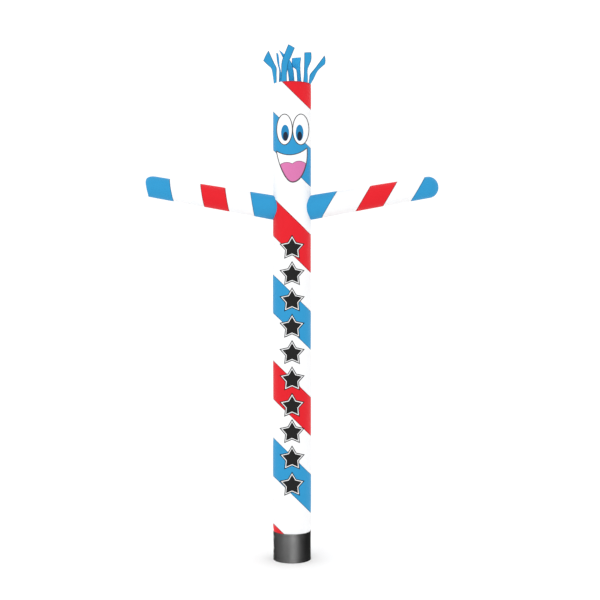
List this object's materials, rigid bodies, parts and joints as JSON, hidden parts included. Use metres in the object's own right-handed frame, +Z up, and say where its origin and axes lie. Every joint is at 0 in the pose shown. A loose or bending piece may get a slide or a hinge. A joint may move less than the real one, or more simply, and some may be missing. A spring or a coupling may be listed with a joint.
{
  "type": "inflatable air dancer",
  "caption": "Tall striped cloth tube on a black collar, with two raised sleeves for arms, an appliqued smiling face and loose hair strips round its open top.",
  "frame": {"origin": "middle of the collar's lower hem, on the tube's axis, in the plane it stands on", "axes": "+Z up along the tube, the face looks along -Y, the arms reach along -X and +X"},
  "size_m": [3.5751, 0.4858, 6.2354],
  "materials": {
    "white_cloth": "white ripstop nylon, coated, blown tight",
    "blue_cloth": "sky blue ripstop nylon, coated, blown tight",
    "red_cloth": "bright red ripstop nylon, coated, blown tight",
    "hair_cloth": "sky blue ripstop nylon, single loose strips",
    "black_cloth": "heavy black coated polyester",
    "face_white": "white nylon applique",
    "face_blue": "blue nylon applique",
    "face_black": "near-black nylon applique",
    "face_pink": "pink nylon applique"
  },
  "bodies": {
    "root": {"collar": "black_cloth", "tube_red_1": "red_cloth", "tube_white_1": "white_cloth", "tube_blue_1": "blue_cloth", "tube_white_2": "white_cloth", "tube_red_2": "red_cloth", "tube_white_3": "white_cloth", "tube_blue_2": "blue_cloth", "tube_white_4": "white_cloth", "tube_red_3": "red_cloth", "tube_white_5": "white_cloth", "tube_blue_3": "blue_cloth", "tube_white_6": "white_cloth", "tube_red_4": "red_cloth", "arm_left_1_blue": "blue_cloth", "arm_left_2_white": "white_cloth", "arm_left_3_red": "red_cloth", "arm_left_4_white": "white_cloth", "arm_left_5_blue": "blue_cloth", "arm_right_1_blue": "blue_cloth", "arm_right_2_white": "white_cloth", "arm_right_3_red": "red_cloth", "arm_right_4_white": "white_cloth", "arm_right_5_blue": "blue_cloth", "hair_1": "hair_cloth", "hair_2": "hair_cloth", "hair_3": "hair_cloth", "hair_4": "hair_cloth", "hair_5": "hair_cloth", "hair_6": "hair_cloth", "hair_7": "hair_cloth", "eye_left": "face_white", "eye_right": "face_white", "iris_left": "face_blue", "iris_right": "face_blue", "pupil_left": "face_black", "pupil_right": "face_black", "mouth": "face_white", "tongue": "face_pink"}
  },
  "joints": []
}
